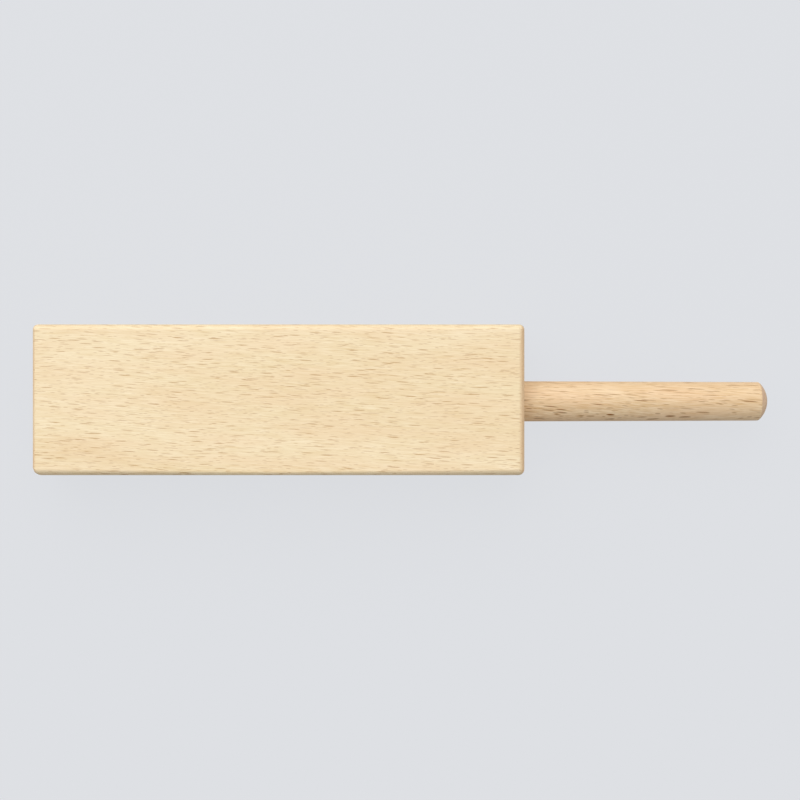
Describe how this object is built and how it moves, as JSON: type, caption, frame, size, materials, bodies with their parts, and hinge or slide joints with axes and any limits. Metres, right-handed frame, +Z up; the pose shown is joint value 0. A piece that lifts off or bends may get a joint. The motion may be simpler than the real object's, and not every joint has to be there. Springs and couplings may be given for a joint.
{
  "type": "woodblock",
  "caption": "Hand-held woodblock: a rectangular beech resonator with sound slots milled into its long sides and a round handle glued into its end, struck with a beater.",
  "frame": {"origin": "on the surface that the block lies on, under the middle of the whole instrument", "axes": "+X runs along the handle from the block towards the handle's tip, +Y across the block's width, +Z up out of the upper striking face"},
  "size_m": [0.272, 0.0554, 0.036],
  "materials": {
    "beech_block": "planed and sanded pale beech under a thin satin clear lacquer",
    "beech_handle": "turned and sanded beech, a little redder, under a thin satin clear lacquer",
    "wood_glue": "set wood glue, dull and yellowish"
  },
  "bodies": {
    "root": {"resonator_block": "beech_block", "handle": "beech_handle", "handle_glue": "wood_glue"}
  },
  "joints": []
}
